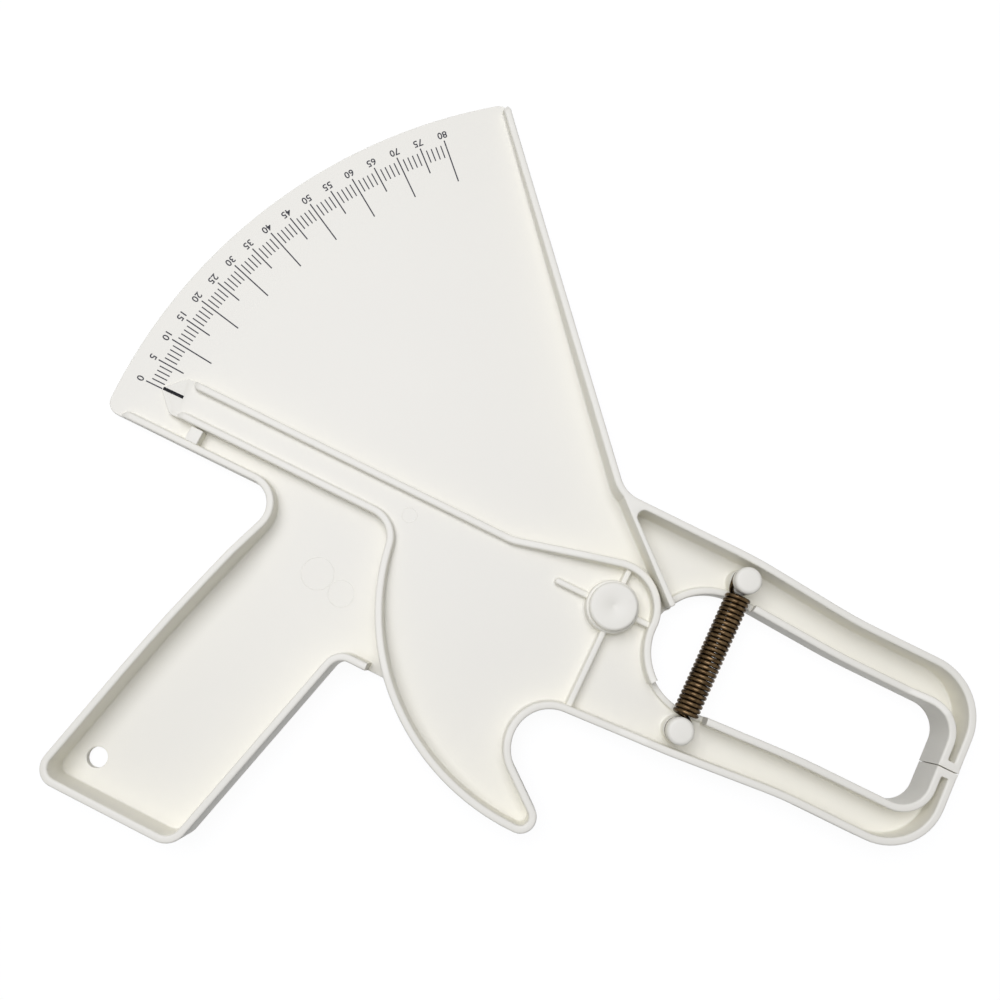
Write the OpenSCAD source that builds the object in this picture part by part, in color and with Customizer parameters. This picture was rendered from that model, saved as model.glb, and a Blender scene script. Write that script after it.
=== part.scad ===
// Skinfold caliper, lying on its back with the dial side up, jaws closed.
// Origin: on the lever's pivot axis, in the plane of the back. +X runs to the closed jaws' contact,
// +Z up through the dial side. The dial's zero lies at 180 degrees, opposite the jaws.
// The lever turns clockwise, seen from above, to open the jaws.

/* [Measuring law] */
// Distance from the pivot to the outer edge of the jaws' contact faces
jaw_reach = 105.5; // [103:0.1:108]
// Width of the jaws' contact faces, along the reach
contact_w = 6.2; // [5.4:0.1:7]
// Gap left between the two contact faces when the lever is on its stop
contact_gap = 0.3; // [0.2:0.05:0.5]

/* [Fan plate] */
// Radius of the fan's curved edge
fan_r = 161.4; // [158:0.1:166]
// Distance from the pivot to the fan's lower edge
fan_low = 12.9; // [11.8:0.1:13.2]
// Distance from the pivot to the line of the fan's side edge
fan_side = 12.1; // [11.8:0.1:13]
// Direction in which the fan's side edge runs out from the pivot
fan_side_angle = 131; // [130.5:0.1:132]
// Radius of the fan's two outer corners
fan_corner_r = 4; // [3:0.5:6]

/* [Handle] */
// How far the handle leans back from square to the jaws, in degrees
handle_lean = 14.2; // [12:0.2:16]
// Where the line of the handle's front edge crosses the pivot's level
handle_front = 96.1; // [93:0.1:97]
// Width of the handle along the jaws' direction
handle_w = 44.7; // [40:0.1:46]
// How far the handle's front edge swells out at its middle
handle_swell = 1.5; // [0:0.1:2]
// Distance from the pivot down to the handle's end
handle_drop = 112.4; // [105:0.2:118]
// Distance from the pivot down to the shelf behind the handle
shelf_drop = 47; // [45:0.5:48]
// Radius of the web between thumb and finger
web_r = 8; // [6:0.5:10]
// Radius of the hang hole
hang_r = 2.95; // [2.5:0.05:3.5]
// Distance from the pivot down to the hang hole
hang_drop = 102.4; // [100:0.1:104]
// Distance from the line of the handle's front edge in to the hang hole
hang_in = 9.2; // [8:0.1:12]

/* [Jaw arms] */
// Outer edge of the arms at the spring's posts, from the jaws' centre line
arm_root = 30.7; // [30:0.1:31]
// Outer edge of the arms at their waist
arm_waist = 27.5; // [27:0.1:29]
// Outer edge of the arms at the tip
arm_tip = 27.3; // [26:0.1:28]
// Distance from the pivot to the arms' waist
waist_x = 64; // [60:1:70]
// Radius of the arms' outer tip corners
arm_corner_r = 17; // [12:0.5:18]
// Half of the gap between the arms, beside the spring
gap_root = 16.5; // [15.8:0.1:16.6]
// Half of the gap between the arms, at their waist
gap_waist = 14.8; // [14:0.1:15]
// Half of the gap between the arms, at the tip
gap_tip = 14.7; // [13:0.1:14.8]
// Radius of the gap's tip corners
gap_corner_r = 8; // [6:0.5:9]
// Distance from the pivot to the spring and to the centre of the round hole that it crosses
hole_x = 31; // [30.8:0.1:31.2]
// Radius of that hole in the frame
hole_r = 17.4; // [17:0.1:17.4]

/* [Lever] */
// Distance from the pivot to the pointer's tip
pointer_len = 148.8; // [146:0.2:150]
// Half of the pointer's width
pointer_half = 6; // [5.6:0.1:6]
// Radius of the lever's curved front edge, about the pivot
sweep_r = 67.8; // [66:0.1:68.5]
// Radius of the crook where the finger pulls
crook_r = 10.8; // [10.5:0.1:11.2]
// Radius of the trigger's rounded end
trigger_end_r = 4.5; // [4:0.1:5]
// Radius of the lever's hub edge
hub_r = 13.9; // [13.9:0.1:14.1]

/* [Heights] */
// Thickness of the frame's plate
plate_t = 2.4; // [2:0.1:2.5]
// Thickness of the lever's plate
lever_t = 2; // [1.6:0.1:2.2]
// Free height between the two plates
plate_gap = 0.4; // [0.3:0.05:0.6]
// Thickness of the rims
rim_t = 2.2; // [1.8:0.1:2.3]
// Height of the jaw arms
arm_h = 13; // [12:0.5:15]
// Height of the frame's rim along the jaw gap
gap_rim_h = 9.4; // [8:0.1:12]
// Height of the handle's rim
handle_h = 13; // [11:0.5:14]
// Height of the fan's lower rim where it starts
fan_rim_h = 4.6; // [4:0.1:6]
// Height of the pointer's ribs
pointer_h = 7; // [6:0.2:8]
// Height of the rim round the trigger
trigger_h = 13; // [11:0.5:14]
// Free height under the moving jaw, which keeps it off the table
lever_lift = 0.3; // [0.2:0.1:0.5]

/* [Pivot] */
// Radius of the stud that the lever turns on
stud_r = 4.5; // [4:0.1:5]
// Radial clearance between the stud and the lever
run_gap = 0.05; // [0.02:0.01:0.1]
// Radius of the cap over the pivot
cap_r = 6.9; // [6.4:0.1:7.2]
// Height of the top of that cap
cap_top = 12.6; // [12:0.1:13]

/* [Spring] */
// Distance of the spring's posts from the jaws' centre line
post_y = 23.2; // [23:0.1:23.6]
// Diameter of the spring's wire
wire_d = 0.9; // [0.8:0.05:0.9]
// Mean radius of the spring's coils
coil_r = 3.1; // [2.9:0.1:3.1]
// Number of the spring's whole coils on each side of its middle
half_coils = 13; // [11:1:13]
// Height of the spring's axis
spring_z = 10.2; // [10:0.1:10.4]

/* [Hidden] */
$fn = 64;
plastic = "#e9e8e2";
bronze = "#8a6a43";
eps = 0.01;
far = 400;

// Stations shared by the two mouldings
gap_x = jaw_reach - contact_w;
half_gap = contact_gap / 2;
hub_plate_r = 18;
lever_z = plate_t + plate_gap;
lever_top = lever_z + lever_t;

// ---------- outlines ----------

// Points of an arc about c, from angle a0 to a1 in n steps
function arc(c, r, a0, a1, n) =
    [for (i = [0 : n]) let (a = a0 + (a1 - a0) * i / n) [c[0] + r * cos(a), c[1] + r * sin(a), 0]];

function unit(v) = v / norm(v);

function flat2(p) = [p[0], p[1]];

// The corner q = [x, y, radius] between its neighbours, as the points of its rounding arc
function round_corner(p, q, s) =
    q[2] == 0 ? [flat2(q)] :
    let (
        u = unit(flat2(p) - flat2(q)),
        v = unit(flat2(s) - flat2(q)),
        half = acos(u * v) / 2,
        c = flat2(q) + unit(u + v) * q[2] / sin(half),
        from = flat2(q) + u * q[2] / tan(half) - c,
        to = flat2(q) + v * q[2] / tan(half) - c,
        a0 = atan2(from[1], from[0]),
        turn = atan2(from[0] * to[1] - from[1] * to[0], from * to),
        n = max(3, ceil(abs(turn) / 9))
    )
    [for (i = [0 : n]) let (a = a0 + turn * i / n) c + q[2] * [cos(a), sin(a)]];

// A closed outline from its corners, each rounded by its own radius, without doubled points
function outline(corners) =
    let (
        n = len(corners),
        all = [for (i = [0 : n - 1])
            each round_corner(corners[(i + n - 1) % n], corners[i], corners[(i + 1) % n])],
        m = len(all)
    )
    [for (i = [0 : m - 1]) if (norm(all[i] - all[(i + m - 1) % m]) > 0.02) all[i]];

// The outline moved inwards by d; it runs counter-clockwise, so inwards is to the left
function inset(points, d) =
    let (n = len(points))
    [for (i = [0 : n - 1])
        let (
            u = unit(points[i] - points[(i + n - 1) % n]),
            v = unit(points[(i + 1) % n] - points[i]),
            sum = [-u[1] - v[1], u[0] + v[0]]
        )
        points[i] + d * sum / (1 + u * v)];

// Line of the handle's front or back edge at the level y
function handle_x(y, back) = -handle_front + (back ? handle_w : 0) + y * tan(handle_lean);

// Centres of the two corner arcs of the fan, tangent to its curved edge and to a straight edge
fan_low_c = let (y = -fan_low + fan_corner_r) [-sqrt(pow(fan_r - fan_corner_r, 2) - y * y), y];
fan_side_n = [cos(fan_side_angle - 90), sin(fan_side_angle - 90)];
fan_side_u = [cos(fan_side_angle), sin(fan_side_angle)];
fan_side_c = let (d = fan_side - fan_corner_r)
    d * fan_side_n + sqrt(pow(fan_r - fan_corner_r, 2) - d * d) * fan_side_u;

// Where the arm's outer edge meets the line of the fan's side edge
arm_start_y = 31;
arm_start_x = (fan_side - arm_start_y * fan_side_n[1]) / fan_side_n[0];

// Where the straight hidden edge touches the plate round the hub
shelf_end_x = -46;
shelf_angle = atan2(-shelf_drop, shelf_end_x) + acos(hub_plate_r / norm([shelf_end_x, shelf_drop]));

// Where a circle of radius r about the pivot crosses the round hole, as an angle at each centre
function hole_cross_x(r, h) = (hole_x * hole_x + r * r - h * h) / (2 * hole_x);
function cross_at_pivot(r, h) = acos(hole_cross_x(r, h) / r);
function cross_at_hole(r, h) = acos((hole_x - hole_cross_x(r, h)) / h);

// Where, seen from the hole's centre, its arc runs into the jaw gap's edge
function gap_start(h) = asin(gap_root / h);

// Middle of the handle's swollen edge, and the wide radii that soften the bends of long edges
swell_y = -62;
swell_r = 500;
sway_r = 120;
gap_sway_r = 200;

// Edge of the frame: fan's lower edge, handle, hidden edge, hub, hole, jaw gap, tip, arm, fan
frame_edge = outline(concat(
    arc(fan_low_c, fan_corner_r, atan2(fan_low_c[1], fan_low_c[0]) + 360, 270, 8),
    [
        [handle_x(-fan_low, false), -fan_low, web_r],
        [handle_x(swell_y, false) - handle_swell, swell_y, swell_r],
        [handle_x(-handle_drop, false), -handle_drop, 5.5],
        [handle_x(-handle_drop, true), -handle_drop, 6.5],
        [handle_x(-shelf_drop, true), -shelf_drop, 4],
        [shelf_end_x, -shelf_drop, 6]
    ],
    arc([0, 0], hub_plate_r, shelf_angle, -cross_at_pivot(hub_plate_r, hole_r), 5),
    arc([hole_x, 0], hole_r, 180 + cross_at_hole(hub_plate_r, hole_r), gap_start(hole_r), 36),
    [
        [waist_x, gap_waist, gap_sway_r],
        [gap_x, gap_tip, gap_corner_r],
        [gap_x, half_gap, 0],
        [jaw_reach, half_gap, 0],
        [jaw_reach, arm_tip, arm_corner_r],
        [waist_x, arm_waist, sway_r],
        [hole_x, arm_root, sway_r],
        [arm_start_x, arm_start_y, 9]
    ],
    arc(fan_side_c, fan_corner_r, fan_side_angle - 90, atan2(fan_side_c[1], fan_side_c[0]), 8),
    arc([0, 0], fan_r, atan2(fan_side_c[1], fan_side_c[0]),
        atan2(fan_low_c[1], fan_low_c[0]) + 360, 60)
));

// Edge of the lever: pointer, swept front, trigger, crook, arm, tip, jaw gap, hole, hub, pointer
neck_r = 8;
neck_c = [-sqrt(pow(sweep_r + neck_r, 2) - pow(pointer_half + neck_r, 2)), -pointer_half - neck_r];
lever_hole_r = hole_r - 0.2;
arm_root_low = 32.7;
arm_low_angle = atan((arm_root_low - arm_root) / hole_x);
crook_c = [0.8, -arm_root_low - crook_r];
trigger_c = let (x = 1.3) [x, -sqrt(pow(sweep_r - trigger_end_r, 2) - x * x)];
// The straight inner side of the trigger touches both its end circle and the crook
to_crook = crook_c - trigger_c;
inner_side = atan2(to_crook[1], to_crook[0]) + asin((trigger_end_r + crook_r) / norm(to_crook));
hub_rib_angle = 13.7;
pointer_join_x = (pointer_half * cos(hub_rib_angle) - hub_r) / sin(hub_rib_angle);
shoulder_x = 6.4;

lever_edge = outline(concat(
    [
        [-pointer_len, 0, 1],
        [-pointer_len + shoulder_x, -pointer_half, 2.5]
    ],
    arc(neck_c, neck_r, 90, atan2(neck_c[1], neck_c[0]) + 180, 9),
    arc([0, 0], sweep_r, atan2(neck_c[1], neck_c[0]) + 360, atan2(trigger_c[1], trigger_c[0]) + 360, 40),
    arc(trigger_c, trigger_end_r, atan2(trigger_c[1], trigger_c[0]), inner_side - 90, 14),
    arc(crook_c, crook_r, inner_side + 90, 90 + arm_low_angle, 18),
    [
        [hole_x, -arm_root, sway_r],
        [waist_x, -arm_waist, sway_r],
        [jaw_reach, -arm_tip, arm_corner_r],
        [jaw_reach, -half_gap, 0],
        [gap_x, -half_gap, 0],
        [gap_x, -gap_tip, gap_corner_r],
        [waist_x, -gap_waist, gap_sway_r]
    ],
    arc([hole_x, 0], lever_hole_r, 360 - gap_start(lever_hole_r),
        180 - cross_at_hole(hub_r, lever_hole_r), 28),
    arc([0, 0], hub_r, cross_at_pivot(hub_r, lever_hole_r), 90 + hub_rib_angle, 12),
    [
        [pointer_join_x, pointer_half, 12],
        [-pointer_len + shoulder_x, pointer_half, 2.5]
    ]
));

// ---------- shared solids ----------

// A wall of thickness rim_t that follows the inside of an outline
module rim(edge, low, high) {
    translate([0, 0, low])
        linear_extrude(high - low)
            difference() {
                polygon(edge);
                polygon(inset(edge, rim_t));
            }
}

// A side view, given as [x, z] points, made solid across the whole part
module along_x(points) {
    rotate([90, 0, 0])
        linear_extrude(far, center = true)
            polygon(points);
}

// The same for a side view given as [y, z] points
module along_y(points) {
    rotate([90, 0, 90])
        linear_extrude(far, center = true)
            polygon(points);
}

// The same along a line through the pivot at angle a, given as [distance, z] points
module along_line(a, points) {
    rotate([0, 0, a])
        along_x(points);
}

// The tubular post that a spring pin stands in
post_r = 3.2;
post_top = 8.4;
pin_bore_r = 1.5;
pin_bore_low = 4;

module post(side, low) {
    translate([hole_x, side * post_y, low])
        cylinder(h = post_top - low, r = post_r);
}

module post_bore(side) {
    translate([hole_x, side * post_y, pin_bore_low])
        cylinder(h = far, r = pin_bore_r);
}

// The notch in the gap's rim through which the spring passes, from x0 on
notch_top = 6.2;
notch_end = 36.6;
notch_y = 20.2;

module notch(side, x0) {
    translate([x0, side > 0 ? 0 : -notch_y, notch_top])
        cube([notch_end - x0, notch_y, far]);
}

// ---------- frame ----------

stud_top = 9.8;
stem_r = 2.5;
press_grip = 0.02;
stem_low = 3.4;
rim_start_x = 154.5;
rim_end_x = 55.1;
rib_angle = 138;
rib_inner = 14.4;
peg = [4, 4.4, 3.8];
peg_x = -134;

// The low rim of the fan that rises into the handle's rim, down and round to its cut end
module handle_rim() {
    start = [-rim_start_x, -fan_low + rim_t / 2];
    intersection() {
        union() {
            intersection() {
                rim(frame_edge, 0, handle_h);
                translate([-rim_start_x, -handle_drop - 1, 0])
                    cube([rim_start_x - rim_end_x, handle_drop + 1 - fan_low + rim_t + 0.1, far]);
            }
            translate(start)
                cylinder(h = handle_h, r = rim_t / 2);
        }
        union() {
            along_x([[-160, 0], [-160, fan_rim_h], [-108, 7.4], [-50, 7.4], [-50, 0]]);
            along_y([[-120, 0], [-120, handle_h], [-34, handle_h], [-fan_low - eps, 7.4],
                     [-fan_low - eps, 0]]);
        }
    }
}

// The frame's rim along the jaw gap is low and rises to the full height round the tip
module gap_dip() {
    low_end = 86;
    rise_end = 96;
    intersection() {
        along_x([[hole_x, far], [hole_x, gap_rim_h], [low_end, gap_rim_h], [rise_end, arm_h],
                 [rise_end, far]]);
        cube([far, gap_root + rim_t + 2, far]);
    }
}

// The rim of the fan's side, which rises to the full height of the jaw arm and runs round it
module arm_rim() {
    difference() {
        intersection() {
            rim(frame_edge, 0, arm_h);
            rotate([0, 0, fan_side_angle - 90])
                translate([fan_side - rim_t - 0.2, -far / 2, 0])
                    cube([far, far, far]);
            along_line(fan_side_angle, [[-90, 0], [-90, arm_h], [34, arm_h], [150, 6], [170, 6], [170, 0]]);
        }
        translate([0, 0, -eps])
            cylinder(h = far, r = rib_inner + 1.6);
        notch(1, 15);
        gap_dip();
    }
}

// The straight rib between the fan and the arm's pocket
module pocket_rib() {
    intersection() {
        linear_extrude(arm_h)
            polygon(frame_edge);
        rotate([0, 0, rib_angle - 90])
            translate([rib_inner, -6.5, 0])
                cube([rim_t, 32, arm_h]);
    }
}

module dial_frame() {
    color(plastic)
        difference() {
            union() {
                linear_extrude(plate_t)
                    polygon(frame_edge);
                handle_rim();
                arm_rim();
                pocket_rib();
                post(1, 0);
                cylinder(h = stud_top, r = stud_r);
                translate([peg_x, -fan_low + rim_t - 0.1, 0])
                    cube([peg[0], peg[1], plate_t + peg[2]]);
            }
            translate([handle_x(-hang_drop, false) + hang_in, -hang_drop, -1])
                cylinder(h = far, r = hang_r);
            translate([0, 0, stem_low])
                cylinder(h = far, r = stem_r);
            post_bore(1);
        }
}

// ---------- lever ----------

boss_r = 7.6;
boss_top = 9.6;
rib_w = 1.8;
deep_x = 18;
deep_r = 19.5;

// Side views of the rim's height: along the pointer and arm, and down the swept front
module lever_heights() {
    along_x([[-160, 0], [-160, pointer_h], [-36, pointer_h], [-12, 10], [14, 10], [24, arm_h],
             [110, arm_h], [110, 0]]);
    along_y([[-80, 0], [-80, trigger_h], [-46, trigger_h], [-6, pointer_h], [20, pointer_h], [20, 0]]);
}

// Ribs on the hub, in line with the pointer and square to it
module hub_ribs() {
    translate([-17.4, -rib_w / 2, lever_z])
        cube([17.4, rib_w, 4.4]);
    translate([0, -rib_w / 2, lever_z])
        cube([hub_r - 1.2, rib_w, 5.4]);
    translate([-rib_w / 2, 0, lever_z])
        cube([rib_w, hub_r - 1, 5.4]);
    translate([0.7 - rib_w / 2, -31.4, lever_z])
        cube([rib_w, 31.4, 6.4]);
}

module lever_rim() {
    rib_start = -pointer_len + 10;
    intersection() {
        difference() {
            rim(lever_edge, lever_z, arm_h);
            translate([-far + rib_start, -far / 2, 0])
                cube([far, far, far]);
            notch(-1, 20);
        }
        lever_heights();
    }
    for (side = [-1, 1])
        translate([rib_start, side * (pointer_half - rim_t / 2), lever_z])
            cylinder(h = pointer_h - lever_z, r = rim_t / 2);
}

// The moving jaw reaches down to the level of the frame's back, clear of the frame's plate
module deep_rim() {
    difference() {
        rim(lever_edge, lever_lift, lever_top);
        translate([-far + deep_x, -far / 2, -1])
            cube([far, far, far]);
        translate([0, 0, -1])
            cylinder(h = far, r = deep_r);
    }
}

module trigger_lever() {
    color(plastic)
        difference() {
            union() {
                intersection() {
                    translate([0, 0, lever_z])
                        linear_extrude(lever_t)
                            polygon(lever_edge);
                    along_x([[-160, 0], [-pointer_len, lever_z + 0.6], [-pointer_len + 9, lever_top],
                             [110, lever_top], [110, 0]]);
                }
                lever_rim();
                deep_rim();
                hub_ribs();
                post(-1, lever_z);
                translate([0, 0, lever_z])
                    cylinder(h = boss_top - lever_z, r = boss_r);
            }
            translate([0, 0, -1])
                cylinder(h = far, r = stud_r + run_gap);
            post_bore(-1);
        }
}

// ---------- cap and pins ----------

// Half of a round head with a rolled edge, as [radius, z] points
function head_half(r, low, top, roll) = concat(
    [[0, low], [r, low]],
    [for (a = [0 : 15 : 90]) [r - roll + roll * cos(a), top - roll + roll * sin(a)]],
    [[0, top]]
);

// The cap is pressed into the stud and seats on its end, so the lever stays free under it
module pivot_cap() {
    foot = 4;
    gate_r = 0.9;
    gate_deep = 0.25;
    color(plastic)
        difference() {
            union() {
                rotate_extrude()
                    polygon(head_half(cap_r, stud_top, cap_top, 0.9));
                translate([0, 0, foot])
                    cylinder(h = stud_top - foot + eps, r = stem_r + press_grip);
            }
            translate([0, 0, cap_top - gate_deep])
                cylinder(h = 1, r = gate_r);
        }
}

pin_head_r = 3.9;
pin_head_low = 11.4;
pin_top = 15;
pin_neck_r = 2.4;

// The pin's neck holds the spring's hook between the post's end and its own head
module spring_pin(side) {
    foot = pin_bore_low + 0.4;
    color(plastic)
        translate([hole_x, side * post_y, 0]) {
            rotate_extrude()
                polygon(head_half(pin_head_r, pin_head_low, pin_top, 0.8));
            translate([0, 0, post_top])
                cylinder(h = pin_head_low - post_top + eps, r = pin_neck_r);
            translate([0, 0, foot])
                cylinder(h = post_top - foot + eps, r = pin_bore_r + press_grip);
        }
}

module fixed_spring_pin() {
    spring_pin(1);
}

module moving_spring_pin() {
    spring_pin(-1);
}

// ---------- spring ----------

rings_per_coil = 8;
ring_sides = 6;
coil_half = 18.4;
side_turns = half_coils + 0.5;
coil_pitch = coil_half / side_turns;
hook_r = pin_neck_r + wire_d / 2 + 0.2;
hook_steps = 14;
hook_sweep = 235;
bend_steps = 6;
bend_reach = 2.6;
tail = wire_d;

// The wire's centre line, from the front of the middle coil up to its end on the fixed pin
function coil_point(t) = [-coil_r * sin(360 * t), coil_pitch * t, coil_r * cos(360 * t)];

// The last coil is bent up from behind into the level of the hook
coil_end = coil_point(side_turns);
coil_dir = unit([2 * PI * coil_r, coil_pitch, 0]);
hook_start = [hook_r, post_y, 0];

function bend_point(u) =
    pow(1 - u, 3) * coil_end
    + 3 * u * pow(1 - u, 2) * (coil_end + bend_reach * coil_dir)
    + 3 * u * u * (1 - u) * (hook_start - [0, bend_reach, 0])
    + u * u * u * hook_start;

function hook_point(v) = [hook_r * cos(hook_sweep * v), post_y + hook_r * sin(hook_sweep * v), 0];

half_line = concat(
    [for (i = [1 : side_turns * rings_per_coil - 1]) coil_point(i / rings_per_coil)],
    [for (i = [0 : bend_steps - 1]) bend_point(i / bend_steps)],
    [for (i = [0 : hook_steps]) hook_point(i / hook_steps)],
    [hook_point(1) + tail * [-sin(hook_sweep), cos(hook_sweep), 0]]
);

// The other half is the same, turned half round about the height through the middle
half_count = len(half_line);
wire_line = concat(
    [for (i = [1 : half_count]) let (p = half_line[half_count - i]) [-p[0], -p[1], p[2]]],
    [coil_point(0)],
    half_line
);

// Least free distance of the wire from itself, between points more than half a coil apart
near_steps = rings_per_coil / 2;
wire_gaps = [for (i = [0 : half_count])
    min([for (j = [i + near_steps + 1 : len(wire_line) - 1]) norm(wire_line[j] - wire_line[i])])];
echo(least_gap_of_spring_to_itself = min(wire_gaps) - wire_d);

// The side direction of each ring: square to the line and carried on without twist
function line_dir(points, i) = unit(points[min(i + 1, len(points) - 1)] - points[max(i - 1, 0)]);
function square_to(v, t) = unit(v - (v * t) * t);
function ring_sides_dirs(points) = [for (
    i = 0, n = square_to([0.3, 0.2, 1], line_dir(points, 0));
    i < len(points);
    i = i + 1, n = i < len(points) ? square_to(n, line_dir(points, i)) : n
) n];

// One unbroken tube of triangles along the points, closed square at both ends
module tube(points, d, sides) {
    dirs = ring_sides_dirs(points);
    last = (len(points) - 1) * sides;
    rings = [for (i = [0 : len(points) - 1])
        let (across = cross(line_dir(points, i), dirs[i]))
        for (k = [0 : sides - 1])
            points[i] + d / 2 * (cos(360 * k / sides) * dirs[i] + sin(360 * k / sides) * across)];
    walls = [for (i = [0 : sides : last - 1]) for (k = [0 : sides - 1])
        let (a = i + k, b = i + (k + 1) % sides)
        each [[a, a + sides, b], [b, a + sides, b + sides]]];
    ends = [for (k = [1 : sides - 2])
        each [[0, k, k + 1], [last, last + k + 1, last + k]]];
    polyhedron(rings, concat(walls, ends));
}

module tension_spring() {
    color(bronze)
        translate([hole_x, 0, spring_z])
            tube(wire_line, wire_d, ring_sides);
}

dial_frame();
trigger_lever();
pivot_cap();
tension_spring();
fixed_spring_pin();
moving_spring_pin();
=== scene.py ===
import bpy
import numpy as np
from mathutils import Euler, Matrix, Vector
from mathutils.geometry import tessellate_polygon


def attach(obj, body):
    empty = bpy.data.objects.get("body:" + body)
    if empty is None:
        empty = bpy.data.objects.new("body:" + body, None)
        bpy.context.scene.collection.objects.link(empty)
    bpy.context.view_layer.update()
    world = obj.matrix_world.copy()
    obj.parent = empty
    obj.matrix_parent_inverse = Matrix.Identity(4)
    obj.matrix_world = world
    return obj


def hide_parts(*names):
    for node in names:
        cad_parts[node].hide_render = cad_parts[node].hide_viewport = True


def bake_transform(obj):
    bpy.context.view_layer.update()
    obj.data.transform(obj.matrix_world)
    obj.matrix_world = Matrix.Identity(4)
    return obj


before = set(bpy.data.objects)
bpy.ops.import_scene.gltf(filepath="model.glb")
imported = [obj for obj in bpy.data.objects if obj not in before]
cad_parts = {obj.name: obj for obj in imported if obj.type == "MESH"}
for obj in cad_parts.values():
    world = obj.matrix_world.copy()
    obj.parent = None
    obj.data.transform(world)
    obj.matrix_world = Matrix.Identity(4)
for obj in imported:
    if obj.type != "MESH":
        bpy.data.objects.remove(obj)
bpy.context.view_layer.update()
scene = bpy.context.scene
scene.view_settings.view_transform = "Standard"

# ---------------------------------------------------------------------------------------------
# Camera. It stands about 0.3 m over the caliper, which lies on its back, and looks nearly
# straight down. The picture is turned so that the jaws point down to the right.
MM = 0.001
CAMERA_PLACE = (-26.54, -30.17, 302.94)
CAMERA_TURN = (8.944, -0.959, 26.125)
FOCAL_LENGTH = 36.914
SENSOR_WIDTH = 36.0

camera_data = bpy.data.cameras.new("camera")
camera_data.lens = FOCAL_LENGTH
camera_data.sensor_width = SENSOR_WIDTH
camera_data.clip_start = 0.01
camera_data.clip_end = 20.0
camera = bpy.data.objects.new("camera", camera_data)
camera.location = Vector(CAMERA_PLACE) * MM
camera.rotation_euler = Euler([np.radians(a) for a in CAMERA_TURN], "XYZ")
scene.collection.objects.link(camera)
scene.camera = camera

# ---------------------------------------------------------------------------------------------
# Light. One large soft lamp hangs above the dial in a plain, dimmer room, so that floors are
# bright and upright walls are darker. Both are daylight-coloured, a little cool.
DAYLIGHT = (0.945, 0.952, 1.04)
ROOM_STRENGTH = 0.25
LAMP_PLACE, LAMP_SIDE, LAMP_POWER = (-0.3, 0.15, 1.1), 0.9, 11.3

world = bpy.data.worlds.new("pale_room")
scene.world = world
world.use_nodes = True
nodes, links = world.node_tree.nodes, world.node_tree.links
nodes.clear()
seen = nodes.new("ShaderNodeLightPath")
room = nodes.new("ShaderNodeBackground")
room.inputs["Color"].default_value = (*DAYLIGHT, 1.0)
room.inputs["Strength"].default_value = ROOM_STRENGTH
backdrop = nodes.new("ShaderNodeBackground")
backdrop.inputs["Color"].default_value = (1.0, 1.0, 1.0, 1.0)
backdrop.inputs["Strength"].default_value = 1.0
looks_or_reflects = nodes.new("ShaderNodeMath")
looks_or_reflects.operation = "MAXIMUM"
looks_reflects_or_shines = nodes.new("ShaderNodeMath")
looks_reflects_or_shines.operation = "MAXIMUM"
choose = nodes.new("ShaderNodeMixShader")
room_out = nodes.new("ShaderNodeOutputWorld")
links.new(seen.outputs["Is Camera Ray"], looks_or_reflects.inputs[0])
links.new(seen.outputs["Is Glossy Ray"], looks_or_reflects.inputs[1])
links.new(looks_or_reflects.outputs[0], looks_reflects_or_shines.inputs[0])
links.new(seen.outputs["Is Transmission Ray"], looks_reflects_or_shines.inputs[1])
links.new(looks_reflects_or_shines.outputs[0], choose.inputs[0])
links.new(room.outputs[0], choose.inputs[1])
links.new(backdrop.outputs[0], choose.inputs[2])
links.new(choose.outputs[0], room_out.inputs[0])

lamp_data = bpy.data.lights.new("soft_lamp", "AREA")
lamp_data.shape = "SQUARE"
lamp_data.size = LAMP_SIDE
lamp_data.energy = LAMP_POWER
lamp_data.color = DAYLIGHT
lamp = bpy.data.objects.new("soft_lamp", lamp_data)
lamp.location = LAMP_PLACE
lamp.rotation_euler = (-Vector(LAMP_PLACE)).to_track_quat("-Z", "Y").to_euler()
scene.collection.objects.link(lamp)

# ---------------------------------------------------------------------------------------------
# Table. A plain white sheet that keeps the caliper's soft shadow and is otherwise as white as
# the backdrop.
TABLE_SIDE = 6.0
TABLE_DROP = 0.0001
SHADOW_SHARE = 0.3
SHEET_GLOW = 1.33
SHEET_COLOUR = (0.3, 0.3, 0.3, 1.0)

half_side = TABLE_SIDE / 2
table_mesh = bpy.data.meshes.new("table")
table_mesh.from_pydata(
    [(-half_side, -half_side, -TABLE_DROP), (half_side, -half_side, -TABLE_DROP),
     (half_side, half_side, -TABLE_DROP), (-half_side, half_side, -TABLE_DROP)],
    [], [(0, 1, 2, 3)])
table = bpy.data.objects.new("table", table_mesh)
scene.collection.objects.link(table)
sheet = bpy.data.materials.new("white_sheet")
sheet.use_nodes = True
nodes, links = sheet.node_tree.nodes, sheet.node_tree.links
nodes.clear()
paper = nodes.new("ShaderNodeBsdfDiffuse")
paper.inputs["Color"].default_value = SHEET_COLOUR
glow = nodes.new("ShaderNodeEmission")
glow.inputs["Strength"].default_value = SHEET_GLOW
seen = nodes.new("ShaderNodeLightPath")
direct = nodes.new("ShaderNodeMath")
direct.operation = "MAXIMUM"
direct_or_through = nodes.new("ShaderNodeMath")
direct_or_through.operation = "MAXIMUM"
glow_share = nodes.new("ShaderNodeMath")
glow_share.operation = "MULTIPLY"
glow_share.inputs[1].default_value = 1 - SHADOW_SHARE
mixed = nodes.new("ShaderNodeMixShader")
sheet_out = nodes.new("ShaderNodeOutputMaterial")
links.new(seen.outputs["Is Camera Ray"], direct.inputs[0])
links.new(seen.outputs["Is Glossy Ray"], direct.inputs[1])
links.new(direct.outputs[0], direct_or_through.inputs[0])
links.new(seen.outputs["Is Transmission Ray"], direct_or_through.inputs[1])
links.new(direct_or_through.outputs[0], glow_share.inputs[0])
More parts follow.
